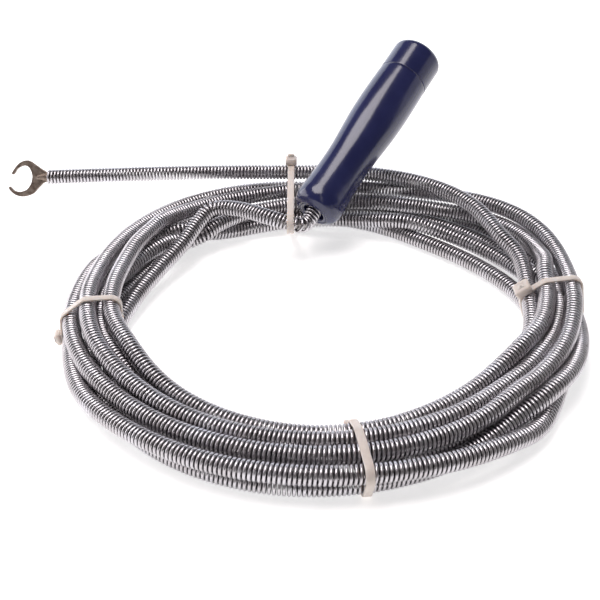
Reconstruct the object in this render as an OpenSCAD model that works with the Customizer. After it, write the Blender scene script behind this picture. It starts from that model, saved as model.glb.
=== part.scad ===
/* [Spring cable] */
// Outside diameter of the close-wound spring
cable_d = 9; // [8.5:0.1:9.5]
/* [Coil] */
// Inner radius of the tied coil
coil_inner_r = 94; // [93:0.5:95]
// Outer radius of the tied coil
coil_outer_r = 133; // [131:0.5:134]
// Height of the tied coil above the floor
coil_h = 20; // [19.5:0.5:20.5]
/* [Handle] */
// Length from the lower face to the far end of the cap
handle_len = 125; // [122:1:130]
// Largest diameter of the grip
grip_d = 31; // [30:0.5:32]
// Diameter of the narrow waist above the lower end
waist_d = 26.4; // [26:0.2:27.6]
// Diameter of the mouth that takes the spring
mouth_d = 12.6; // [11.6:0.2:13]
// Length of the end cap that shows outside
cap_len = 21.5; // [20:0.5:23]
/* [Spindle] */
// Diameter of the steel rod inside the crank
rod_d = 5; // [4.6:0.1:5]
// Radial clearance between the rod and what turns on it
run_gap = 0.08; // [0.05:0.01:0.1]
/* [Claw] */
// Outside diameter of the C
claw_outer_d = 20.8; // [20:0.2:22]
// Diameter of the throat inside the C
claw_throat_d = 14.8; // [14:0.2:15.4]
// Gap between the two points
claw_mouth = 8.6; // [7:0.2:9]
// Plate thickness
claw_plate = 3; // [2.5:0.1:3.5]
/* [Cable ties] */
// Width of the strap
strap_w = 3.8; // [3:0.1:4]
// Thickness of the strap
strap_t = 1.2; // [1:0.1:1.4]
// Side of the locking head
head_w = 6.6; // [6:0.1:7]

/* [Hidden] */
$fn = 72;
cable_r = cable_d / 2;
// Middle of the coil's underside, seen from the middle of the whole object's footprint.
// The straps pass under the turns and hold them this far off the floor.
coil_centre = [26, -19, strap_t];

// Handle frame: the middle of its lower face, then its heading and its rise above the floor
handle_foot = [-2.4, 76, 25];
handle_heading = 54;
handle_rise = 29;
handle_dir = [
    cos(handle_rise) * cos(handle_heading), cos(handle_rise) * sin(handle_heading), sin(handle_rise)
];
// Heights along the handle, from its lower face
mouth_depth = 15;
boss_top = 40;
cavity_d = 14;
washer_t = 1;
washer_d = 11.4;
float_gap = 0.15;
rod_top = 118;
bearing_r = rod_d / 2 + run_gap;

// Route of the tip: from the top of the coil at the right-hand tie, over the back, to the claw
tip_route = [
    [107.6, 9.4, 13.5], [108, 39, 17], [100.5, 58, 20.5], [87.5, 87, 25], [64, 111, 26],
    [28, 127.5, 25.2], [-15, 129, 25.2], [-70, 127, 25.8], [-120, 126, 24.8], [-161, 126, 23.3]
];
// Route of the crank: down the handle's spindle, along the arm to the kink, and into the coil
crank_route = [
    handle_foot + 12.5 * handle_dir, handle_foot, handle_foot - 7 * handle_dir,
    [-12, 67, 22.5], [-26, 70.5, 25], [-43, 80.5, 25], [-58.5, 84.5, 23.5], [-66.5, 77, 19.5],
    [-75, 60, 14], [-85, 42, 10], [-95, 17, 7.5], [-102.2, -8.7, 5]
];

// Round corners of the bundle, below and above
low_round = 4.5;
top_round = 7;
// Azimuths of three ties round the coil, and the place of the fourth, which also holds tip and crank
left_tie = 187;
front_tie = 278;
right_tie = 3;
back_tie_x = -15;
strap_gap = 0.2;
corner_room = 1.9;

claw_foot = [-161, 126, 23.3];
claw_droop = 1.4;
claw_roll = 25;

// Point on a smooth curve from b to c, with a and d as its outer neighbours
function blend(a, b, c, d, t) =
    0.5 * (2 * b + (c - a) * t + (2 * a - 5 * b + 4 * c - d) * t * t + (3 * b - a - 3 * c + d) * t * t * t);
function at(p, i) =
    i < 0 ? 2 * p[0] - p[1] : i >= len(p) ? 2 * p[len(p) - 1] - p[len(p) - 2] : p[i];
// A smooth curve through the points of p, with n steps between each two
function smooth(p, n) = concat(
    [for (i = [0 : len(p) - 2], k = [0 : n - 1]) blend(at(p, i - 1), p[i], p[i + 1], at(p, i + 2), k / n)],
    [p[len(p) - 1]]
);
function unit(v) = v / norm(v);
function tangent(p, i) = unit(at(p, i + 1) - at(p, i - 1));
// Sideways direction, level with the floor
function side(t) = unit(cross(t, [0, 0, 1]));
function ring_of(c, t, r, sides) = [
    for (k = [0 : sides - 1])
        c + r * (cos(360 * (k + 0.5) / sides) * side(t) + sin(360 * (k + 0.5) / sides) * cross(side(t), t))
];

module tube(route, r, sides) {
    rings = len(route);
    points = [for (i = [0 : rings - 1]) each ring_of(route[i], tangent(route, i), r, sides)];
    walls = [
        for (i = [0 : rings - 2], k = [0 : sides - 1])
            [i * sides + k, i * sides + (k + 1) % sides, (i + 1) * sides + (k + 1) % sides, (i + 1) * sides + k]
    ];
    first = [for (k = [0 : sides - 1]) sides - 1 - k];
    last = [for (k = [0 : sides - 1]) (rings - 1) * sides + k];
    polyhedron(points = points, faces = concat(walls, [first, last]), convexity = 6);
}

// Puts +Z along a direction given by its heading and its rise
module along(heading, rise) {
    rotate([0, 90 - rise, heading]) children();
}

module in_handle() {
    translate(coil_centre + handle_foot) along(handle_heading, handle_rise) children();
}

// Section of the tied bundle: a block with round corners, flat underneath
module bundle_section(low_corner, top_corner) {
    corners = [
        [coil_inner_r, 0, low_corner, 1, 1], [coil_outer_r, 0, low_corner, -1, 1],
        [coil_inner_r, coil_h, top_corner, 1, -1], [coil_outer_r, coil_h, top_corner, -1, -1]
    ];
    for (c = corners)
        translate([c[0] + c[3] * c[2], c[1] + c[4] * c[2]]) circle(r = c[2]);
    translate([coil_inner_r + top_corner, 0]) square([coil_outer_r - coil_inner_r - 2 * top_corner, coil_h]);
    translate([coil_inner_r + low_corner, 0])
        square([coil_outer_r - coil_inner_r - 2 * low_corner, coil_h - top_corner]);
    translate([coil_inner_r, low_corner])
        square([coil_outer_r - coil_inner_r, coil_h - low_corner - top_corner]);
}

// The bundle of turns as one ring, with a notch under it for each strap
module cable_coil() {
    color([0.72, 0.73, 0.76]) translate([coil_centre[0], coil_centre[1], 0]) difference() {
        rotate_extrude($fn = 144) bundle_section(low_round, top_round);
        for (azimuth = [left_tie, front_tie, right_tie])
            rotate([0, 0, azimuth]) translate([coil_inner_r - 5, -strap_w / 2 - strap_gap, -1]) notch();
        translate([back_tie_x - strap_w / 2 - strap_gap, coil_outer_r, -1]) rotate([0, 0, -90]) notch();
    }
}

module notch() {
    cube([coil_outer_r - coil_inner_r + 10, strap_w + 2 * strap_gap, strap_t + strap_gap + 1]);
}

module cable_tip() {
    color([0.76, 0.77, 0.80]) translate(coil_centre) tube(smooth(tip_route, 3), cable_r, 8);
}

module cable_crank() {
    color([0.76, 0.77, 0.80]) translate(coil_centre) tube(smooth(crank_route, 2), cable_r, 8);
}

// Steel rod: straight through the handle as its spindle, then bent with the crank
module crank_rod() {
    bend_play = 0.1;
    last_point = 12;
    bent = smooth(crank_route, 2);
    color([0.55, 0.55, 0.57]) {
        in_handle() cylinder(d = rod_d, h = rod_top);
        translate(coil_centre) tube([for (i = [1 : last_point]) bent[i]], rod_d / 2 - bend_play, 8);
    }
}

// Outline of the grip: radius at each height above the lower face
module grip_outline(top) {
    polygon([
        [0, 0], [9.2, 0], [12.6, 2], [14, 5.5], [14.2, 9], [13.9, 14], [13.4, 22], [waist_d / 2, 32],
        [13.3, 42], [13.9, 50], [14.6, 59], [15.2, 68], [grip_d / 2, 80], [grip_d / 2 - 0.1, 92],
        [15.2, 102], [15.1, top], [0, top]
    ]);
}

module handle_sleeve() {
    top = handle_len - cap_len;
    color([0.16, 0.19, 0.40]) in_handle() difference() {
        rotate_extrude() grip_outline(top);
        translate([0, 0, -1]) cylinder(d = mouth_d, h = mouth_depth + 1);
        translate([0, 0, mouth_depth - 1]) cylinder(r = bearing_r, h = boss_top);
        translate([0, 0, boss_top]) cylinder(d = cavity_d, h = top);
    }
}

// Closes the sleeve: a domed end, a plug that grips the cavity, and a socket for the spindle's end
module handle_end_cap() {
    top = handle_len - cap_len;
    edge = 4;
    plug_len = 9;
    plug_play = 0.05;
    color([0.16, 0.19, 0.40]) in_handle() difference() {
        union() {
            translate([0, 0, top + 0.25]) cylinder(r = 15.1, h = cap_len - edge - 0.25);
            translate([0, 0, handle_len - edge]) rotate_extrude() intersection() {
                union() {
                    square([15.1 - edge, edge]);
                    translate([15.1 - edge, 0]) circle(r = edge);
                }
                square([15.1, edge]);
            }
            translate([0, 0, top - plug_len]) cylinder(r = cavity_d / 2 - plug_play, h = plug_len + 1);
        }
        translate([0, 0, top - plug_len - 1]) cylinder(r = bearing_r, h = rod_top - top + plug_len + 2);
    }
}

module washer(height) {
    color([0.78, 0.78, 0.80]) in_handle() translate([0, 0, height]) difference() {
        cylinder(d = washer_d, h = washer_t);
        translate([0, 0, -1]) cylinder(r = bearing_r, h = washer_t + 2);
    }
}

// Between the end of the spring and the shoulder in the handle's mouth
module lower_washer() {
    washer(mouth_depth - float_gap - washer_t);
}

// Between the top of the handle's boss and the retaining ring
module upper_washer() {
    washer(boss_top + float_gap);
}

// Push-on ring that grips the spindle above the upper washer
module retaining_ring() {
    color([0.45, 0.46, 0.48]) in_handle() translate([0, 0, boss_top + 2 * float_gap + washer_t]) difference() {
        union() {
            cylinder(d = 12, h = 0.8);
            cylinder(d1 = 9, d2 = 7, h = 2);
        }
        translate([0, 0, -1]) cylinder(d = rod_d, h = 4);
    }
}

// Claw, drawn with its mouth towards +X, its plate flat, and its foot at the origin
module claw_shape() {
    throat_x = 15.8;
    outer_x = 14;
    tang_d = 5;
    tang_len = 14;
    shoulder = 9.4;
    translate([0, 0, -claw_plate / 2]) linear_extrude(claw_plate) difference() {
        union() {
            translate([outer_x, 0]) circle(d = claw_outer_d);
            polygon([[0, -2.5], [9.5, -shoulder], [14, -shoulder], [14, shoulder], [9.5, shoulder], [0, 2.5]]);
        }
        translate([throat_x, 0]) circle(d = claw_throat_d);
        translate([throat_x, -claw_mouth / 2]) square([20, claw_mouth]);
    }
    rotate([0, 90, 0]) {
        translate([0, 0, -tang_len]) cylinder(d = tang_d, h = tang_len);
        cylinder(d1 = tang_d, d2 = claw_plate + 0.2, h = 7.5);
    }
}

module claw_head() {
    color([0.45, 0.39, 0.37])
        translate(coil_centre + claw_foot) rotate([0, 0, 180]) rotate([0, claw_droop, 0]) rotate([90 + claw_roll, 0, 0])
            claw_shape();
}

// Strap drawn tight round a set of circles [x, y, r], with a small gap, in the plane z = 0
module strap_loop(circles) {
    translate([0, 0, -strap_w / 2]) linear_extrude(strap_w) difference() {
        hull() for (c = circles) translate([c[0], c[1]]) circle(r = c[2] + strap_gap + strap_t, $fn = 48);
        hull() for (c = circles) translate([c[0], c[1]]) circle(r = c[2] + strap_gap, $fn = 48);
    }
}

// Locking head with the cut tail standing out of it
module tie_head(tail) {
    head_l = 6;
    head_h = 4.4;
    translate([-head_l / 2, 0, -head_w / 2]) cube([head_l, head_h, head_w]);
    translate([-0.6, head_h - 0.2, -strap_w / 2]) cube([strap_t, tail, strap_w]);
}

// Two low corners of the bundle, with room for its own rounding, so that the strap lies on the floor
function low_corners(inner, outer) = [
    for (r = [inner + low_round - corner_room, outer - low_round + corner_room])
        [r, low_round + strap_t + strap_gap, low_round]
];
function top_corners() = [
    for (r = [coil_inner_r + top_round, coil_outer_r - top_round]) [r, coil_h - top_round, top_round]
];

// A tie round the bundle at an azimuth; its head sits where head_at says, turned by head_turn
module bundle_tie(azimuth, head_at, head_turn, tail) {
    color([0.93, 0.89, 0.80])
        translate([coil_centre[0], coil_centre[1], 0]) rotate([0, 0, azimuth]) rotate([90, 0, 0]) {
            strap_loop(concat(low_corners(coil_inner_r, coil_outer_r), top_corners()));
            translate(head_at) rotate([0, 0, head_turn]) tie_head(tail);
        }
}

module tie_left() {
    bundle_tie(left_tie, [coil_outer_r + 1, 10, 0], -90, 3);
}

module tie_front() {
    bundle_tie(front_tie, [coil_inner_r - 1, 13, 0], 90, 4);
}

module tie_right() {
    bundle_tie(right_tie, [coil_inner_r + 0.8, coil_h - 1.4, 0], 45, 3);
}

// Holds the tip and the crank down on the bundle
module tie_back() {
    tip_at = [129, 25.2 + coil_centre[2], cable_r];
    crank_at = [67.8, 23 + coil_centre[2], cable_r + 0.8];
    reach_in = sqrt(coil_inner_r * coil_inner_r - back_tie_x * back_tie_x);
    reach_out = sqrt(coil_outer_r * coil_outer_r - back_tie_x * back_tie_x);
    color([0.93, 0.89, 0.80])
        translate([coil_centre[0] + back_tie_x, coil_centre[1], 0]) rotate([90, 0, 90]) {
            strap_loop(concat(low_corners(reach_in, reach_out), [tip_at, crank_at]));
            translate([tip_at[0], tip_at[1] + cable_r + strap_t, 0]) tie_head(3);
        }
}

cable_coil();
cable_tip();
cable_crank();
claw_head();
crank_rod();
handle_sleeve();
handle_end_cap();
lower_washer();
upper_washer();
retaining_ring();
tie_left();
tie_front();
tie_right();
tie_back();
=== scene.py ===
"""Drain auger: a close-wound spring tied in a flat coil, with a claw, a bent crank and a spinning grip."""
import math

import bpy
import numpy as np
from mathutils import Matrix, Vector


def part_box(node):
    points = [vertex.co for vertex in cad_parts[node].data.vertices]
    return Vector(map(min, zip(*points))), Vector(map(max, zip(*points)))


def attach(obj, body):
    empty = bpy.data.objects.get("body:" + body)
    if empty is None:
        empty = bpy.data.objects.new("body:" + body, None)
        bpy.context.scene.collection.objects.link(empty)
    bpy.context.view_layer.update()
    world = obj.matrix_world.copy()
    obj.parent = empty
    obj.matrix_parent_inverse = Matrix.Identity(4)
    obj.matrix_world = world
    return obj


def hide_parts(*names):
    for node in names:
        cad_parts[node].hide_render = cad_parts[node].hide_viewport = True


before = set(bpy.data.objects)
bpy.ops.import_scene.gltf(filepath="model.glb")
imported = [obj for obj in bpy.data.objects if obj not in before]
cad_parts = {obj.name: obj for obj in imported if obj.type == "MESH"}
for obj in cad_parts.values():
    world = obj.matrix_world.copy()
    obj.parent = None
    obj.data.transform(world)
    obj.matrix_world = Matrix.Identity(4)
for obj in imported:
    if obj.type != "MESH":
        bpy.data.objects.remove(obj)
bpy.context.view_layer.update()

MM = 0.001
scene = bpy.context.scene

# Sizes, in millimetres. A section that works in metres says so.
CABLE_D = 9.0
WIRE_D = 1.66
PITCH = 2.0
STRAP_W = 3.9
STRAP_T = 1.2

# How finely the wire is drawn: sections along one winding, and sides round the wire
WIRE_STEPS = 14
WIRE_SIDES = 8

# Middle of the coil's underside: the straps under it hold it off the floor
COIL_LOW, COIL_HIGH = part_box("cable_coil")
COIL_X = (COIL_LOW.x + COIL_HIGH.x) / 2 / MM
COIL_Y = (COIL_LOW.y + COIL_HIGH.y) / 2 / MM
COIL_CENTRE = np.array([COIL_X, COIL_Y, STRAP_T])

# The foot of the handle's axis, and how it leans: the same as the frame's own joint
HANDLE_FOOT = np.array([-2.4, 76.0, 25.0])
HANDLE_HEADING = math.radians(54)
HANDLE_RISE = math.radians(29)
HANDLE_DIR = np.array([
    math.cos(HANDLE_RISE) * math.cos(HANDLE_HEADING),
    math.cos(HANDLE_RISE) * math.sin(HANDLE_HEADING),
    math.sin(HANDLE_RISE),
])


# ---------------------------------------------------------------- camera
CAMERA_ELEVATION = math.radians(32.5)
CAMERA_DISTANCE = 518.6
CAMERA_AIM = COIL_CENTRE + np.array([-9.7, 0.0, 15.7])
SENSOR_WIDTH = 36.0
LENS = 61.8


def make_camera():
    """A camera straight in front of the coil, looking down at it."""
    back = np.array([0.0, -math.cos(CAMERA_ELEVATION), math.sin(CAMERA_ELEVATION)])
    data = bpy.data.cameras.new("camera")
    data.sensor_width = SENSOR_WIDTH
    data.lens = LENS
    data.clip_start = 0.01
    data.clip_end = 20.0
    camera = bpy.data.objects.new("camera", data)
    scene.collection.objects.link(camera)
    camera.location = (CAMERA_AIM + CAMERA_DISTANCE * back) * MM
    camera.rotation_euler = (math.radians(90) - CAMERA_ELEVATION, 0.0, 0.0)
    scene.camera = camera


make_camera()


# ---------------------------------------------------------------- route of the cable
TIP_ROUTE = [
    [107.6, 9.4, 13.5], [108, 39, 17], [100.5, 58, 20.5], [87.5, 87, 25], [64, 111, 26],
    [28, 127.5, 25.2], [-15, 129, 25.2], [-70, 127, 25.8], [-120, 126, 24.8], [-161, 126, 23.3],
]
CRANK_ROUTE = [
    list(HANDLE_FOOT + 12.5 * HANDLE_DIR), list(HANDLE_FOOT), list(HANDLE_FOOT - 7 * HANDLE_DIR),
    [-12, 67, 22.5], [-26, 70.5, 25], [-43, 80.5, 25], [-58.5, 84.5, 23.5], [-66.5, 77, 19.5],
    [-75, 60, 14], [-85, 42, 10], [-95, 17, 7.5], [-102.2, -8.7, 5],
]
# The seven passes of the coil. Each lists where the cable lies, as azimuth, radius and height,
# from the left-hand tie round the front, the right and the back to the left-hand tie again.
PASSES = [
    [
        (185, 102.6, 5), (200, 107, 4.5), (215, 110.5, 4.5), (230, 113.5, 4.5), (275, 114.5, 4.5),
        (320, 111.5, 4.5), (335, 111.5, 4.5), (350, 110.5, 4.5), (5, 110.8, 4.5), (12, 108.5, 4.5),
        (20, 105.7, 4.5), (40, 100.4, 4.5), (60, 101.2, 4.5), (79, 108, 4.5), (95, 111, 4.5),
        (120, 113.8, 4.5), (130, 113, 4.5), (140, 108.5, 4.5), (150, 103.5, 4.5), (160, 102, 4.5),
        (170, 105, 4.5),
    ],
    [
        (185, 113, 4.5), (205, 116.5, 4.5), (230, 122.5, 4.5), (275, 123.5, 4.5), (295, 118.5, 4.5),
        (310, 117, 6), (320, 121.5, 12), (335, 124, 13.3), (350, 128, 8.5), (5, 129.8, 4.8),
        (20, 133, 4.5), (50, 132.5, 5), (70, 132.5, 7.5), (85, 132.5, 11.5), (100, 133, 13.7),
        (125, 133, 14), (140, 128.8, 14.5), (150, 122.5, 17), (160, 118.9, 18), (175, 114.2, 19.3),
    ],
    [
        (185, 114.3, 19.5), (200, 112.5, 19), (215, 110.5, 17), (230, 108.5, 14.5), (275, 106, 13.5),
        (300, 106, 13.5), (320, 107.2, 13.3), (330, 110, 13.3), (340, 115, 12), (350, 118.5, 11.5),
        (5, 123, 12), (12, 121, 10.5), (20, 117.5, 7.5), (35, 114, 7.5), (50, 105.5, 10.5), (60, 100, 12.3),
        (79, 99.5, 9), (95, 101, 7.5), (120, 105, 4.5), (130, 107.5, 7), (140, 112, 11.5),
        (150, 117.5, 10), (160, 121.5, 6), (175, 123.7, 4.5),
    ],
    [
        (185, 123.5, 4.5), (200, 124, 5), (215, 126, 8), (230, 127.5, 12), (250, 128, 13.3),
        (275, 127, 13.3), (300, 129, 11.5), (310, 129, 9), (320, 126, 5), (335, 124, 4.5),
        (350, 121.5, 4.5), (5, 120.2, 4.5), (20, 123.5, 4.5), (50, 124, 4.5), (79, 119, 4.5),
        (95, 120.5, 4.5), (120, 123, 4.5), (140, 126, 5), (150, 126.5, 7.5), (160, 125, 10),
        (175, 122.8, 12.5),
    ],
    [
        (185, 124, 13.3), (200, 121.3, 13.7), (230, 117.5, 13.5), (275, 115.5, 13.7), (300, 114.8, 13.5),
        (320, 115.8, 13.5), (330, 117.5, 13.5), (340, 121, 13.5), (350, 122.5, 16.5), (5, 126.5, 18.8),
        (12, 130.5, 18.6), (20, 136, 18.2), (30, 140.5, 21.3), (40, 140.5, 21.5), (50, 138, 19),
        (60, 133.5, 17.5), (70, 131, 16.3), (79, 129.6, 16.7), (100, 124, 14.5), (125, 122, 16),
        (140, 113.5, 20), (150, 110, 20), (160, 105.6, 19.5), (175, 105, 19.5),
    ],
    [
        (185, 104.2, 19.5), (200, 102.5, 19), (215, 100.3, 15.5), (230, 98.5, 12.5), (275, 97.5, 9.5),
        (300, 96.3, 10.5), (320, 97.5, 11), (330, 103, 15.5), (340, 107.3, 19), (350, 111.8, 19.5),
        (5, 116.4, 15), (12, 121, 18.5), (20, 127.5, 17.2), (30, 134.5, 15.5), (38, 136, 15),
        (46, 131, 13.5), (53, 126, 13.5), (60, 121.5, 13.5), (79, 114.8, 13.5), (95, 110, 13.5),
        (120, 103.8, 13.3), (140, 103, 12), (150, 105, 12), (160, 107.5, 12.3), (175, 110, 12.3),
    ],
    [
        (185, 110, 12.3), (200, 106.5, 12.5), (215, 104.5, 9), (230, 104.3, 5), (275, 105.5, 4.5),
        (305, 104.5, 4.5), (320, 102.5, 4.5), (330, 104, 5.5), (340, 105.5, 9), (350, 106.3, 13),
    ],
]
# The coil is worked out at every step of azimuth, and its last strand ends at this radius and height
STEP_DEG = 5
PER_TURN = 360 // STEP_DEG
START_AZ = 185
LAST_AZ = START_AZ + 360 * (len(PASSES) - 1) + 180
COIL_END = (107.3, 13.5)

# How near in azimuth a strand has to come to count as crossing the coil there
CROSSING_DEG = 1.5

# What each round of settling does to a strand: straightens it, pulls it back to where it was, pushes it
# off a neighbour, and pushes it off the crank or the tip, which stay put. The last rounds don't pull.
STRAIGHTEN = 0.04
PULL_BACK = 0.05
PUSH_APART = 0.3
PUSH_OFF = 0.5
ROUNDS = 300
LAST_ROUNDS = 60

# Spacing of the finished centreline's points
FINE = 0.5


def curve_through(points, per_span):
    """A Catmull-Rom curve through the points."""
    p = np.asarray(points, float)
    q = np.vstack([2 * p[0] - p[1], p, 2 * p[-1] - p[-2]])
    t = (np.arange(per_span) / per_span)[:, None]
    spans = [
        0.5 * (2 * b + (c - a) * t + (2 * a - 5 * b + 4 * c - d) * t**2 + (3 * b - a - 3 * c + d) * t**3)
        for a, b, c, d in zip(q, q[1:], q[2:], q[3:])
    ]
    return np.vstack(spans + [p[-1:]])


def resample(line, step):
    """The same line with points a step apart."""
    run = np.concatenate([[0], np.cumsum(np.linalg.norm(np.diff(line, axis=0), axis=1))])
    at = np.linspace(0, run[-1], max(2, int(round(run[-1] / step)) + 1))
    return np.stack([np.interp(at, run, line[:, k]) for k in range(3)], axis=1)


def hermite(knots, at):
    """Smooth values through knots with uneven spacing; the first column is where they are."""
    k = np.asarray(knots, float)
    x, y = k[:, 0], k[:, 1:]
    slope = np.gradient(y, x, axis=0)
    i = np.clip(np.searchsorted(x, at, side="right") - 1, 0, len(x) - 2)
    h = (x[i + 1] - x[i])[:, None]
    t = ((at - x[i]) / (x[i + 1] - x[i]))[:, None]
    return (
        y[i] * (2 * t**3 - 3 * t**2 + 1) + slope[i] * h * (t**3 - 2 * t**2 + t)
        + y[i + 1] * (3 * t**2 - 2 * t**3) + slope[i + 1] * h * (t**3 - t**2)
    )


def coil_knots():
    """All the passes in one run, with the azimuth counting up from the crank's end."""
    run = []
    for turn, knots in enumerate(PASSES):
        for azimuth, radius, height in knots:
            along = (azimuth - START_AZ) % 360 + 360 * turn + START_AZ
            run.append((along, radius, height))
    run.append((LAST_AZ, *COIL_END))
    return run


def beside_coil(route):
    """Radius and height of a strand that crosses the coil, for each step of azimuth that it passes."""
    line = curve_through(route, 40)
    azimuth = np.degrees(np.arctan2(line[:, 1], line[:, 0])) % 360
    radius = np.hypot(line[:, 0], line[:, 1])
    out = {}
    for i in range(PER_TURN):
        want = (START_AZ + i * STEP_DEG) % 360
        near = np.abs((azimuth - want + 180) % 360 - 180)
        best = int(near.argmin())
        if near[best] < CROSSING_DEG:
            out[i] = np.array([radius[best], line[best, 2]])
    return out


def settle(pose):
    """Pushes strands apart until they lie beside and on one another, near where they were."""
    aim = pose.copy()
    held = [beside_coil(TIP_ROUTE), beside_coil(CRANK_ROUTE)]
    count = len(pose)
    for turn in range(ROUNDS):
        pose[1:-1] += STRAIGHTEN * ((pose[:-2] + pose[2:]) / 2 - pose[1:-1])
        if turn < ROUNDS - LAST_ROUNDS:
            pose += PULL_BACK * (aim - pose)
        for k in range(PER_TURN, count, PER_TURN):
            a, b = pose[: count - k], pose[k:]
            gap = b - a
            dist = np.linalg.norm(gap, axis=1) + 1e-9
            push = (np.clip(CABLE_D - dist, 0, None) / dist * PUSH_APART)[:, None] * gap
            pose[k:] += push
            pose[: count - k] -= push
        # The coil's own ends run on into the tip and the crank, so those few points aren't pushed off them
        for strand, ends in zip(held, ((count - 3, count), (0, 3))):
            for slot, place in strand.items():
                for i in range(slot, count, PER_TURN):
                    if ends[0] <= i < ends[1]:
                        continue
                    gap = pose[i] - place
                    dist = np.linalg.norm(gap) + 1e-9
                    pose[i] += max(0.0, CABLE_D - dist) / dist * PUSH_OFF * gap
        pose[:, 1] = np.maximum(pose[:, 1], CABLE_D / 2)
        pose[0], pose[-1] = aim[0], aim[-1]
    return pose


def coil_line():
    """The coil's settled centreline, from the middle of its underside."""
    azimuths = np.arange(START_AZ, LAST_AZ + 1, STEP_DEG)
    pose = settle(hermite(coil_knots(), azimuths))
    turn = np.radians(azimuths)
    return np.stack([pose[:, 0] * np.cos(turn), pose[:, 0] * np.sin(turn), pose[:, 1]], axis=1)


COIL_LINE = coil_line()
WHOLE_ROUTE = np.vstack([CRANK_ROUTE[:-1], COIL_LINE[:-1], TIP_ROUTE])
CENTRELINE = resample(curve_through(WHOLE_ROUTE, 24), FINE)


def nearest(point):
    """The place along the centreline that is nearest to a point."""
    return int(np.linalg.norm(CENTRELINE - np.asarray(point, float), axis=1).argmin())


def at_coil(points):
    """Points given from the middle of the coil's underside, in the frame's own metres."""
    return (np.asarray(points, float) + COIL_CENTRE) * MM


# ---------------------------------------------------------------- materials
# Distances here are in metres. Most of a noise's values lie between these two.
NOISE_LOW = 0.3
NOISE_HIGH = 0.7


class Look:
    """A procedural material: a Principled shader with noise that varies its colour, gloss and surface."""

    def __init__(self, name, **sockets):
        self.material = bpy.data.materials.new(name)
        self.material.use_nodes = True
        self.nodes = self.material.node_tree.nodes
        self.links = self.material.node_tree.links
        self.shader = next(n for n in self.nodes if n.type == "BSDF_PRINCIPLED")
        self.place = self.nodes.new("ShaderNodeTexCoord").outputs["Object"]
        for socket, value in sockets.items():
            self.shader.inputs[socket.replace("_", " ")].default_value = value

    def noise(self, scale, detail, roughness=0.55, stretch=None):
        node = self.nodes.new("ShaderNodeTexNoise")
        node.inputs["Scale"].default_value = scale
        node.inputs["Detail"].default_value = detail
        node.inputs["Roughness"].default_value = roughness
        place = self.place
        if stretch:
            mapping = self.nodes.new("ShaderNodeMapping")
            mapping.inputs["Scale"].default_value = stretch
            self.links.new(place, mapping.inputs["Vector"])
            place = mapping.outputs["Vector"]
        self.links.new(place, node.inputs["Vector"])
        return node.outputs["Fac"]

    def ramp(self, factor, stops):
        node = self.nodes.new("ShaderNodeValToRGB")
        ramp = node.color_ramp
        while len(ramp.elements) < len(stops):
            ramp.elements.new(0.5)
        for element, (position, colour) in zip(ramp.elements, stops):
            element.position = position
            element.color = (*colour, 1.0)
        self.links.new(factor, node.inputs["Fac"])
        return node.outputs["Color"]

    def colour(self, factor, stops):
        self.links.new(self.ramp(factor, stops), self.shader.inputs["Base Color"])

    def painted_crevice_shade(self, distance, stops):
        """Painted shade: darkens the base colour where the surface faces itself, in the crevices between
        windings.
        """
        base = self.shader.inputs["Base Color"].links[0].from_socket
        near = self.nodes.new("ShaderNodeAmbientOcclusion")
        near.samples = 3
        near.only_local = True
        near.inputs["Distance"].default_value = distance
        shade = self.ramp(near.outputs["AO"], stops)
        mix = self.nodes.new("ShaderNodeVectorMath")
        mix.operation = "MULTIPLY"
        self.links.new(base, mix.inputs[0])
        self.links.new(shade, mix.inputs[1])
        self.links.new(mix.outputs["Vector"], self.shader.inputs["Base Color"])

    def roughness(self, factor, low, high):
        node = self.nodes.new("ShaderNodeMapRange")
        node.inputs["From Min"].default_value = NOISE_LOW
        node.inputs["From Max"].default_value = NOISE_HIGH
        node.inputs["To Min"].default_value = low
        node.inputs["To Max"].default_value = high
        self.links.new(factor, node.inputs["Value"])
        self.links.new(node.outputs["Result"], self.shader.inputs["Roughness"])

    def bump(self, factor, distance, strength):
        node = self.nodes.new("ShaderNodeBump")
        node.inputs["Distance"].default_value = distance
        node.inputs["Strength"].default_value = strength
        self.links.new(factor, node.inputs["Height"])
        self.links.new(node.outputs["Normal"], self.shader.inputs["Normal"])


def spring_look():
    """Zinc-plated wire, with painted shade between the windings."""
    look = Look("spring_steel_look", Metallic=1.0)
    look.colour(look.noise(70.0, 4.0), [
        (0.3, (0.51, 0.485, 0.50)), (0.55, (0.61, 0.59, 0.615)), (0.75, (0.70, 0.69, 0.735)),
    ])
    # Painted shade in the crevices between the windings, found by ambient occlusion on the wire itself
    look.painted_crevice_shade(0.0011, [(0.42, (0.03, 0.03, 0.035)), (0.86, (1.0, 1.0, 1.0))])
    look.roughness(look.noise(900.0, 3.0), 0.24, 0.4)
    look.bump(look.noise(2600.0, 2.0), 0.00003, 0.5)
    return look.material


def claw_look():
    """Forged steel, brown and uneven."""
    look = Look("claw_steel_look", Metallic=0.85)
    look.colour(look.noise(260.0, 6.0, 0.65), [
        (0.3, (0.14, 0.10, 0.08)), (0.5, (0.26, 0.205, 0.17)), (0.72, (0.40, 0.335, 0.29)),
    ])
    look.roughness(look.noise(500.0, 4.0), 0.34, 0.58)
    look.bump(look.noise(620.0, 5.0, 0.6), 0.00028, 0.7)
    return look.material


def rod_look():
    """Drawn steel rod."""
    look = Look("rod_steel_look", Metallic=1.0)
    look.colour(look.noise(180.0, 3.0), [(0.3, (0.42, 0.40, 0.39)), (0.7, (0.60, 0.59, 0.58))])
    look.roughness(look.noise(1200.0, 3.0), 0.28, 0.42)
    look.bump(look.noise(1900.0, 3.0), 0.00003, 0.6)
    return look.material


def ring_look():
    """Dark spring steel of the push-on ring."""
    look = Look("ring_steel_look", Metallic=1.0)
    look.colour(look.noise(400.0, 3.0), [(0.3, (0.20, 0.20, 0.21)), (0.7, (0.36, 0.36, 0.37))])
    look.roughness(look.noise(900.0, 3.0), 0.3, 0.45)
    look.bump(look.noise(1700.0, 3.0), 0.00003, 0.6)
    return look.material


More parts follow.
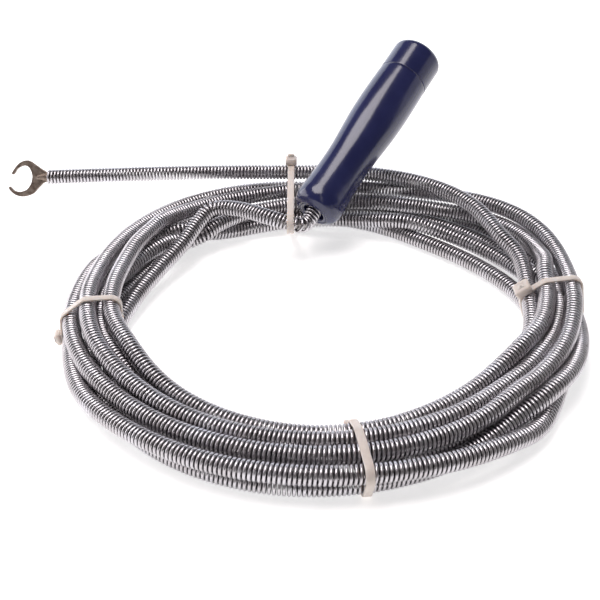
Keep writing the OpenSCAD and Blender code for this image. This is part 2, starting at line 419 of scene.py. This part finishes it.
def washer_look():
    """Bright washer steel."""
    look = Look("washer_steel_look", Metallic=1.0)
    look.colour(look.noise(500.0, 3.0), [(0.3, (0.62, 0.61, 0.60)), (0.7, (0.74, 0.74, 0.74))])
    look.roughness(look.noise(1500.0, 4.0, 0.6, (1.0, 1.0, 6.0)), 0.22, 0.38)
    look.bump(look.noise(2200.0, 3.0), 0.00002, 0.5)
    return look.material


def grip_look():
    """Glossy navy plastic."""
    look = Look("grip_plastic_look", Coat_Weight=0.35, Coat_Roughness=0.1, Specular_IOR_Level=0.5)
    look.colour(look.noise(45.0, 3.0), [(0.3, (0.014, 0.017, 0.070)), (0.7, (0.022, 0.026, 0.094))])
    look.roughness(look.noise(700.0, 4.0), 0.16, 0.26)
    look.bump(look.noise(330.0, 2.0), 0.00008, 0.35)
    return look.material


def tie_look():
    """Nylon that lets some light in."""
    look = Look("tie_plastic_look", Subsurface_Weight=0.25, Subsurface_Scale=0.003, IOR=1.5)
    look.shader.inputs["Subsurface Radius"].default_value = (1.0, 0.75, 0.55)
    look.colour(look.noise(300.0, 3.0), [(0.3, (0.66, 0.58, 0.53)), (0.7, (0.72, 0.65, 0.60))])
    look.roughness(look.noise(900.0, 3.0), 0.3, 0.45)
    look.bump(look.noise(1400.0, 3.0), 0.00004, 0.6)
    return look.material


def floor_look():
    """A plain pale floor that glows a little, so that it stays white round the object."""
    look = Look("floor_look", Roughness=0.6, Specular_IOR_Level=0.2, Emission_Strength=0.6)
    look.shader.inputs["Emission Color"].default_value = (1.0, 1.0, 1.0, 1.0)
    look.colour(look.noise(3.0, 2.0), [(0.3, (0.90, 0.90, 0.90)), (0.7, (0.91, 0.91, 0.91))])
    return look.material


LOOKS = {
    "spring_steel": spring_look(),
    "claw_steel": claw_look(),
    "rod_steel": rod_look(),
    "ring_steel": ring_look(),
    "washer_steel": washer_look(),
    "grip_plastic": grip_look(),
    "tie_plastic": tie_look(),
    "floor": floor_look(),
}


# ---------------------------------------------------------------- mesh helpers
def place_mesh(name, verts, faces, look, body=None, replaces=()):
    """A smooth-shaded piece from vertices in metres. Its look is named after its material slot."""
    mesh = bpy.data.meshes.new(name)
    mesh.from_pydata(np.asarray(verts, float).tolist(), [], [list(map(int, f)) for f in faces])
    mesh.validate()
    mesh.update()
    mesh.polygons.foreach_set("use_smooth", [True] * len(mesh.polygons))
    mesh.materials.append(LOOKS[look])
    piece = bpy.data.objects.new(name, mesh)
    scene.collection.objects.link(piece)
    if body:
        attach(piece, body)
    if replaces:
        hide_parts(*replaces)
    return piece


def sweep(rings, closed=False):
    """Vertices and faces of a skin over rings of one size. Its ends are capped, unless it is closed."""
    rings = np.asarray(rings, float)
    count, sides = rings.shape[:2]
    last = count if closed else count - 1
    i = np.repeat(np.arange(last), sides)
    k = np.tile(np.arange(sides), last)
    j = (i + 1) % count
    n = (k + 1) % sides
    faces = np.stack([i * sides + k, i * sides + n, j * sides + n, j * sides + k], axis=1).tolist()
    if not closed:
        faces.append(list(range(sides))[::-1])
        faces.append([(count - 1) * sides + s for s in range(sides)])
    return rings.reshape(-1, 3), faces


def bake(piece):
    """Replaces a piece's mesh by what its modifiers make of it."""
    graph = bpy.context.evaluated_depsgraph_get()
    mesh = bpy.data.meshes.new_from_object(piece.evaluated_get(graph))
    piece.modifiers.clear()
    piece.data = mesh


# ---------------------------------------------------------------- spring
WIRE_R = (CABLE_D - WIRE_D) / 2

# Widths of the running means that smooth the cable's direction and its bend, in centreline points
DIRECTION_BLUR = 7
BEND_BLUR = 15

# On the inside of a bend the windings stay this far apart, and the bend counts up to this much
WIRE_GAP = 0.05
MOST_BEND = 0.55

# A cord's path takes one centreline point in so many
PATH_EVERY = 4


def unit_rows(v):
    return v / np.linalg.norm(v, axis=1)[:, None]


def box_blur(values, width):
    """Running mean of each column, with the ends held."""
    half = width // 2
    padded = np.concatenate([np.repeat(values[:1], half, 0), values, np.repeat(values[-1:], half, 0)])
    total = np.cumsum(np.concatenate([np.zeros_like(padded[:1]), padded]), axis=0)
    return (total[width:] - total[:-width]) / width


def cable_frames():
    """The cable's direction, and two directions across it, at each point of the centreline."""
    tangent = unit_rows(box_blur(np.gradient(CENTRELINE, axis=0), DIRECTION_BLUR))
    side = unit_rows(np.cross(tangent, [0.0, 0.0, 1.0]))
    return tangent, side, np.cross(side, tangent)


FRAMES = cable_frames()
BEND = np.linalg.norm(np.gradient(box_blur(FRAMES[0], BEND_BLUR), axis=0), axis=1) / FINE
OPENED = np.maximum(PITCH, (WIRE_D + WIRE_GAP) / (1 - np.minimum(BEND * WIRE_R, MOST_BEND)))
# How many windings there are up to each point of the centreline
WIRE_TURNS = np.concatenate([[0], np.cumsum(FINE / OPENED)[:-1]])


def spring_piece(name, start, end, replaces=()):
    """The wire of one stretch of the spring, from one place along the centreline to another."""
    tangent, side, up = FRAMES
    first, last = WIRE_TURNS[start], WIRE_TURNS[end]
    winds = np.linspace(first, last, int(round((last - first) * WIRE_STEPS)) + 1)
    place = np.interp(winds, WIRE_TURNS, np.arange(len(WIRE_TURNS)))

    def along(values):
        return np.stack([np.interp(place, np.arange(len(values)), values[:, k]) for k in range(3)], axis=1)

    t, s, u = along(tangent), along(side), along(up)
    phase = 2 * np.pi * winds[:, None]
    out = np.cos(phase) * s + np.sin(phase) * u
    middle = along(CENTRELINE) + WIRE_R * out
    turn = 2 * np.pi * (np.arange(WIRE_SIDES) + 0.5) / WIRE_SIDES
    rings = (
        middle[:, None] + WIRE_D / 2 * (np.cos(turn)[None, :, None] * out[:, None]
                                        + np.sin(turn)[None, :, None] * t[:, None])
    )
    verts, faces = sweep(rings)
    piece = place_mesh(name, at_coil(verts), faces, "spring_steel", body="auger", replaces=replaces)
    path = at_coil(CENTRELINE[start : end + 1 : PATH_EVERY])
    if (end - start) % PATH_EVERY:
        path = np.vstack([path, at_coil(CENTRELINE[end : end + 1])])


def spring_joints():
    """Where the pieces of the spring meet along the centreline: crank, each turn, tip."""
    joints = [0] + [nearest(COIL_LINE[turn * PER_TURN]) for turn in range(len(PASSES))]
    joints += [nearest(TIP_ROUTE[0]), len(CENTRELINE) - 1]
    # A piece starts and ends where a winding of the wire does
    for i in range(1, len(joints) - 1):
        joints[i] = int(np.abs(WIRE_TURNS - round(WIRE_TURNS[joints[i]])).argmin())
    return joints


def make_crank_spring(joints):
    spring_piece("spring_crank", joints[0], joints[1], ["cable_crank"])


def make_turns(joints):
    """One piece for each pass of the coil. The first stands for the frame's whole coil."""
    for turn in range(len(PASSES)):
        stands_for = ["cable_coil"] if turn == 0 else []
        spring_piece(f"spring_turn_{turn + 1}", joints[turn + 1], joints[turn + 2], stands_for)


def make_tip_spring(joints, claw):
    spring_piece("spring_tip", joints[-2], joints[-1], ["cable_tip"])


# ---------------------------------------------------------------- cable ties
# The drawn strap is a little thinner than the frame's, and stands a little off the strands
THICK = STRAP_T - 0.12
STRAP_OFF = 0.04
STRAP_ROUND = 0.35

# A strap turns by steps of this many degrees, and its points are at most this far apart
STRAP_DEG = 3
STRAP_STEP = 1.2

# How far the head sinks into the strap and its rim into the head, and the chamfers of each
HEAD_SINK = 0.35
HEAD_CHAMFER = 0.9
HEAD_SIZE = (6.6, 4.6, 6.8)
RIM_SINK = 0.1
RIM_SIZE = (3.6, 0.5, 4.8)
FINE_CHAMFER = 0.2
LEAST_ROUND = 0.15


def strand_places(azimuth=None, plane_x=None):
    """Where the cable crosses a tie's plane: distance out from the coil's axis, and height."""
    x, y, z = CENTRELINE.T
    if plane_x is None:
        a = math.radians(azimuth)
        out, off = x * math.cos(a) + y * math.sin(a), y * math.cos(a) - x * math.sin(a)
    else:
        out, off = y, x - plane_x
    hit = np.nonzero((off[:-1] * off[1:] <= 0) & (out[:-1] > 0))[0]
    share = off[hit] / (off[hit] - off[hit + 1] + 1e-12)
    return np.stack([v[hit] + share * (v[hit + 1] - v[hit]) for v in (out, z)], axis=1)


def strap_line(places, radius):
    """The closed line that a strap takes round strands, and its outward direction at each point."""
    angles = np.radians(np.arange(0, 360, STRAP_DEG))
    normals = np.stack([np.cos(angles), np.sin(angles)], axis=1)
    line = places[(places @ normals.T).argmax(axis=0)] + radius * normals
    points, outward = [], []
    for a, b, m, n in zip(line, np.roll(line, -1, 0), normals, np.roll(normals, -1, 0)):
        steps = max(1, int(np.linalg.norm(b - a) / STRAP_STEP))
        for k in range(steps):
            share = k / steps
            points.append(a + share * (b - a))
            outward.append(m + share * (n - m))
    return np.array(points), unit_rows(np.array(outward)), line, normals


def rounded_section(width, height, round_r, steps=3):
    """Corners of a rounded oblong about the origin."""
    section = []
    for cx, cy, start in ((1, 1, 0), (-1, 1, 90), (-1, -1, 180), (1, -1, 270)):
        for k in range(steps + 1):
            a = math.radians(start + 90 * k / steps)
            section.append((
                cx * (width / 2 - round_r) + round_r * math.cos(a),
                cy * (height / 2 - round_r) + round_r * math.sin(a),
            ))
    return np.array(section)


def block(verts, faces, size, at, axes, chamfer):
    """Adds a block with chamfered edges, size along three axes, standing on the point at."""
    half = np.array(size) / 2
    layers = []
    for level, inset in ((0, chamfer), (chamfer, 0), (size[1] - chamfer, 0), (size[1], chamfer)):
        round_r = max(LEAST_ROUND, chamfer - inset / 2)
        section = rounded_section(2 * (half[0] - inset), 2 * (half[2] - inset), round_r)
        layers.append([at + p[0] * axes[0] + level * axes[1] + p[1] * axes[2] for p in section])
    v, f = sweep(layers)
    faces += [[i + len(verts) for i in face] for face in f]
    verts += [list(p) for p in v]


def make_tie(name, node, head_angle, tail, azimuth=None, plane_x=None, head_size=HEAD_SIZE):
    """Strap, head and cut tail of one tie. The strap follows the strands that it holds."""
    places = strand_places(azimuth, plane_x)
    points, outward, line, normals = strap_line(places, CABLE_D / 2 + STRAP_OFF + THICK / 2)
    if plane_x is None:
        a = math.radians(azimuth)
        out, across = np.array([math.cos(a), math.sin(a), 0.0]), np.array([math.sin(a), -math.cos(a), 0.0])
        base = np.zeros(3)
    else:
        out, across = np.array([0.0, 1.0, 0.0]), np.array([1.0, 0.0, 0.0])
        base = np.array([plane_x, 0.0, 0.0])
    up = np.array([0.0, 0.0, 1.0])
    section = rounded_section(THICK, STRAP_W, STRAP_ROUND)
    rings = [
        [base + (p[0] + q[0] * n[0]) * out + (p[1] + q[0] * n[1]) * up + q[1] * across for q in section]
        for p, n in zip(points, outward)
    ]
    verts, faces = sweep(rings, closed=True)
    verts = verts.tolist()
    which = int(round(head_angle % 360 / STRAP_DEG)) % len(line)
    seat, seat_normal = line[which] + THICK / 2 * normals[which], normals[which]
    normal = seat_normal[0] * out + seat_normal[1] * up
    along = -seat_normal[1] * out + seat_normal[0] * up
    at = base + seat[0] * out + seat[1] * up - HEAD_SINK * normal
    axes = [along, normal, across]
    block(verts, faces, head_size, at, axes, HEAD_CHAMFER)
    # The rim round the slot, and the tail that comes out of it
    block(verts, faces, RIM_SIZE, at + head_size[1] * normal - RIM_SINK * normal, axes, FINE_CHAMFER)
    tail_size = (THICK, tail, STRAP_W - 0.2)
    block(verts, faces, tail_size, at + head_size[1] * normal, axes, FINE_CHAMFER)
    place_mesh(name, at_coil(verts), faces, "tie_plastic", body="auger", replaces=[node])


def make_ties():
    make_tie("strap_left", "tie_left", -6, 0.6, azimuth=187, head_size=(6.4, 3.0, 6.2))
    make_tie("strap_front", "tie_front", 199, 0.8, azimuth=278, head_size=(6.2, 3.8, 6.6))
    make_tie("strap_right", "tie_right", 127, 1.0, azimuth=2.6, head_size=(8.6, 4.8, 8.8))
    make_tie("strap_back", "tie_back", 90, 2.0, plane_x=-15.0)


# ---------------------------------------------------------------- handle
# Heights up the handle's axis from its mouth, and the radius of the bore for the spindle
CAP_SEAM = 103.5
HANDLE_LEN = 125.0
ROD_TOP = 118.0
BORE = 2.58

# The grip's outline as (radius, height): the mouth, the waisted side, and the inside back to the mouth
GRIP_MOUTH = [
    (6.3, 15), (6.3, 0.5), (6.9, 0), (8.0, 0), (8.25, 0.45), (8.7, 0.45), (8.95, 0), (9.4, 0.05),
    (12.4, 1.9),
]
GRIP_SIDE = [
    (13.2, 3.2), (14.0, 5.6), (14.25, 9), (13.9, 14), (13.4, 22), (13.2, 32), (13.35, 42), (13.9, 50),
    (14.6, 59), (15.2, 68), (15.5, 80), (15.4, 92), (15.25, 98), (15.1, CAP_SEAM - 0.7),
]
GRIP_INSIDE = [
    (15.0, CAP_SEAM - 0.2), (14.8, CAP_SEAM - 0.07), (7.0, CAP_SEAM - 0.05), (7.0, 40), (BORE, 40),
    (BORE, 15),
]

# The cap's plug, with the hole for the spindle's end, and its domed rim
PLUG_R = 6.95
PLUG_LEN = 9
CAP_R = 15.1
AXIS_R = 0.02
DOME_R = 4
DOME_AT_R = 11.1
DOME_DROP = 4.3
WALL_HEIGHTS = (0.6, 1.0, 2.0, 5.0, 9.0, 13.0, 15.5, 16.5)


def in_handle(points):
    """Points in the handle's own frame, with z up the handle, as the frame's metres."""
    z = HANDLE_DIR
    x = np.array([-math.sin(HANDLE_HEADING), math.cos(HANDLE_HEADING), 0.0])
    y = np.cross(z, x)
    p = np.asarray(points, float)
    return at_coil(HANDLE_FOOT + p[:, :1] * x + p[:, 1:2] * y + p[:, 2:] * z)


def lathe(outline, sides=96):
    """Rings of an outline of (radius, height) turned about z."""
    turn = 2 * np.pi * np.arange(sides) / sides
    return [np.stack([r * np.cos(turn), r * np.sin(turn), np.full(sides, z)], axis=1) for r, z in outline]


def ease_corners(outline, radius, steps=3):
    """Rounds the corners of a closed outline. Where it hardly turns, it stays as it is."""
    p = np.asarray(outline, float)
    out = []
    for a, b, c in zip(np.roll(p, 1, 0), p, np.roll(p, -1, 0)):
        before, after = np.linalg.norm(b - a), np.linalg.norm(c - b)
        u, w = (b - a) / before, (c - b) / after
        if u @ w > 0.93:
            out.append(b)
            continue
        cut = min(radius, 0.4 * before, 0.4 * after)
        for k in range(steps + 1):
            t = k / steps
            out.append((1 - t) ** 2 * (b - cut * u) + 2 * t * (1 - t) * b + t * t * (b + cut * w))
    return out


def make_grip():
    """The grip, turned from the frame's own outline, with rounded edges and one side of the seam."""
    outline = ease_corners(GRIP_MOUTH + curve_through(GRIP_SIDE, 5).tolist() + GRIP_INSIDE, 0.45)
    verts, faces = sweep(lathe(outline), closed=True)
    place_mesh("grip", in_handle(verts), faces, "grip_plastic", body="handle", replaces=["handle_sleeve"])


def make_grip_cap():
    """The end cap: a plug in the grip, the other side of the seam, a wall and a domed end."""
    plug = [
        (AXIS_R, ROD_TOP + 1), (BORE, ROD_TOP + 1), (BORE, CAP_SEAM - PLUG_LEN),
        (PLUG_R, CAP_SEAM - PLUG_LEN), (PLUG_R, CAP_SEAM + 0.02), (14.8, CAP_SEAM + 0.07),
    ]
    wall = [(15.0, CAP_SEAM + 0.2)] + [(CAP_R, CAP_SEAM + z) for z in WALL_HEIGHTS]
    dome = [(CAP_R, HANDLE_LEN - 4.2)]
    for a in np.radians(np.arange(10, 81, 10)):
        dome.append((DOME_AT_R + DOME_R * math.cos(a), HANDLE_LEN - DOME_DROP + DOME_R * math.sin(a)))
    dome += [(10.4, HANDLE_LEN - 0.26), (6, HANDLE_LEN - 0.08), (AXIS_R, HANDLE_LEN)]
    verts, faces = sweep(lathe(ease_corners(plug, 0.3) + wall + dome), closed=True)
    place_mesh("grip_cap", in_handle(verts), faces, "grip_plastic", "handle", ["handle_end_cap"])


# ---------------------------------------------------------------- claw
CLAW_FOOT = np.array([-161.0, 126.0, 23.3])
CLAW_DROOP = math.radians(1.4)
CLAW_ROLL = math.radians(115)
CLAW_HALF_T = 1.35

# The flat C, in its own plane, and the round foot as (distance along, radius)
CLAW_UPPER = [
    (9.8, 9.4), (12.2, 10.3), (15.6, 9.6), (18.6, 7.5), (21.0, 4.5), (22.0, 2.8), (21.6, 2.0), (20.8, 2.1),
    (20.1, 2.9), (18.6, 5.1), (16.6, 6.4), (14.2, 7.1), (12.0, 6.5), (10.6, 4.5),
]
CLAW_BACK = [(9.9, 1.8), (9.9, -0.4), (10.9, -3.8)]
CLAW_LOWER = [
    (13.2, -6.8), (15.6, -8.0), (18.6, -8.4), (21.3, -7.5), (23.3, -5.3), (24.0, -5.1), (24.4, -5.8),
    (24.0, -7.0), (22.0, -9.2), (19.3, -10.8), (15.6, -11.4), (11.9, -10.6), (9.1, -9.2),
]
CLAW_WEB = [(6.4, -6.4), (3.0, -3.4), (0.4, -2.2), (0.4, 2.2), (4.4, 5.3), (8.4, 8.3)]
CLAW_STEM = [
    (-14, 0.4), (-14, 2.3), (-13.8, 2.5), (-1.2, 2.5), (0, 2.75), (1.5, 2.5), (3.5, 2.1), (5.5, 1.8),
    (7.4, 1.55),
]
STEM_SIDES = 32

# Merging, in metres
CLAW_VOXEL = 0.00026
SOFTEN_TIMES = 5


def make_claw():
    """The C, its web and its round foot, merged into one forged piece with soft edges."""
    verts, faces = [], []

    def add(v, f):
        faces.extend([[i + len(verts) for i in face] for face in f])
        verts.extend([list(p) for p in v])

    line = curve_through(CLAW_UPPER + CLAW_BACK + CLAW_LOWER + CLAW_WEB, 4)
    add(*sweep([[(x, y, z) for x, y in line] for z in (-CLAW_HALF_T, CLAW_HALF_T)]))
    turn = 2 * np.pi * np.arange(STEM_SIDES) / STEM_SIDES
    add(*sweep([
        np.stack([np.full(STEM_SIDES, x), r * np.cos(turn), r * np.sin(turn)], axis=1) for x, r in CLAW_STEM
    ]))
    piece = place_mesh("claw", np.asarray(verts) * MM, faces, "claw_steel")
    remesh = piece.modifiers.new("merge", "REMESH")
    remesh.mode = "VOXEL"
    remesh.voxel_size = CLAW_VOXEL
    soften = piece.modifiers.new("soften", "SMOOTH")
    soften.factor = 0.5
    soften.iterations = SOFTEN_TIMES
    bake(piece)
    # It is turned and placed after the merge, so that the voxels lie square to the C
    roll, droop = Matrix.Rotation(CLAW_ROLL, 4, "X"), Matrix.Rotation(CLAW_DROOP, 4, "Y")
    turned = np.array((Matrix.Rotation(math.pi, 4, "Z") @ droop @ roll).to_3x3())
    mesh = piece.data
    flat = np.empty(len(mesh.vertices) * 3)
    mesh.vertices.foreach_get("co", flat)
    mesh.vertices.foreach_set("co", (flat.reshape(-1, 3) @ turned.T + at_coil([CLAW_FOOT])).ravel())
    mesh.polygons.foreach_set("use_smooth", [True] * len(mesh.polygons))
    mesh.update()
    if not mesh.materials:
        mesh.materials.append(LOOKS["claw_steel"])
    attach(piece, "auger")
    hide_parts("claw_head")
    return piece


# ---------------------------------------------------------------- floor and light
# In metres
FLOOR_HALF = 12.0
FLOOR_STEPS = 12
WORLD_COLOUR = (0.50, 0.45, 0.45, 1.0)
WORLD_STRENGTH = 0.12


def make_floor():
    line = np.linspace(-FLOOR_HALF, FLOOR_HALF, FLOOR_STEPS + 1)
    verts = [(x, y, 0.0) for y in line for x in line]
    row = FLOOR_STEPS + 1
    faces = [
        (j * row + i, j * row + i + 1, (j + 1) * row + i + 1, (j + 1) * row + i)
        for j in range(FLOOR_STEPS) for i in range(FLOOR_STEPS)
    ]
    place_mesh("floor", verts, faces, "floor")


def area_light(name, at, towards, size, power, colour):
    """A soft oblong light that the camera doesn't see."""
    data = bpy.data.lights.new(name, "AREA")
    data.shape = "RECTANGLE"
    data.color = colour
    data.size, data.size_y = size
    data.energy = power
    light = bpy.data.objects.new(name, data)
    scene.collection.objects.link(light)
    light.location = at
    light.visible_camera = False
    light.rotation_euler = (Vector(towards) - Vector(at)).to_track_quat("-Z", "Y").to_euler()


def make_light():
    """A pale world, a light above, a broad one low behind for the wire's rings, and fills round about."""
    world = bpy.data.worlds.new("studio")
    world.use_nodes = True
    world.node_tree.nodes["Background"].inputs["Color"].default_value = WORLD_COLOUR
    world.node_tree.nodes["Background"].inputs["Strength"].default_value = WORLD_STRENGTH
    scene.world = world
    area_light("top", (-0.25, 0.0, 1.2), (0.0, 0.0, 0.0), (0.9, 0.8), 13.0, (1.0, 0.95, 0.95))
    area_light("back", (0.0, 1.7, 0.62), (0.0, 0.0, 0.62), (4.6, 1.2), 26.0, (0.87, 0.92, 1.0))
    area_light("left", (-1.5, 0.45, 0.45), (0.0, 0.2, 0.3), (1.7, 0.8), 11.0, (1.0, 0.97, 0.98))
    area_light("right", (1.5, 0.6, 0.45), (0.0, 0.2, 0.3), (1.5, 0.8), 2.6, (1.0, 0.97, 0.98))
    area_light("front", (0.0, -1.2, 0.95), (0.0, 0.0, 0.0), (0.22, 1.1), 0.8, (1.0, 0.95, 0.92))
    scene.view_settings.view_transform = "Standard"


def dress_hidden_parts():
    """Looks for the parts inside the handle, which keep the frame's own shapes."""
    for node, look in (("crank_rod", "rod_steel"), ("retaining_ring", "ring_steel"),
                       ("lower_washer", "washer_steel"), ("upper_washer", "washer_steel")):
        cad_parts[node].material_slots[0].material = LOOKS[look]


def main():
    joints = spring_joints()
    make_crank_spring(joints)
    make_turns(joints)
    make_tip_spring(joints, make_claw())
    make_ties()
    make_grip()
    make_grip_cap()
    dress_hidden_parts()
    make_floor()
    make_light()


main()
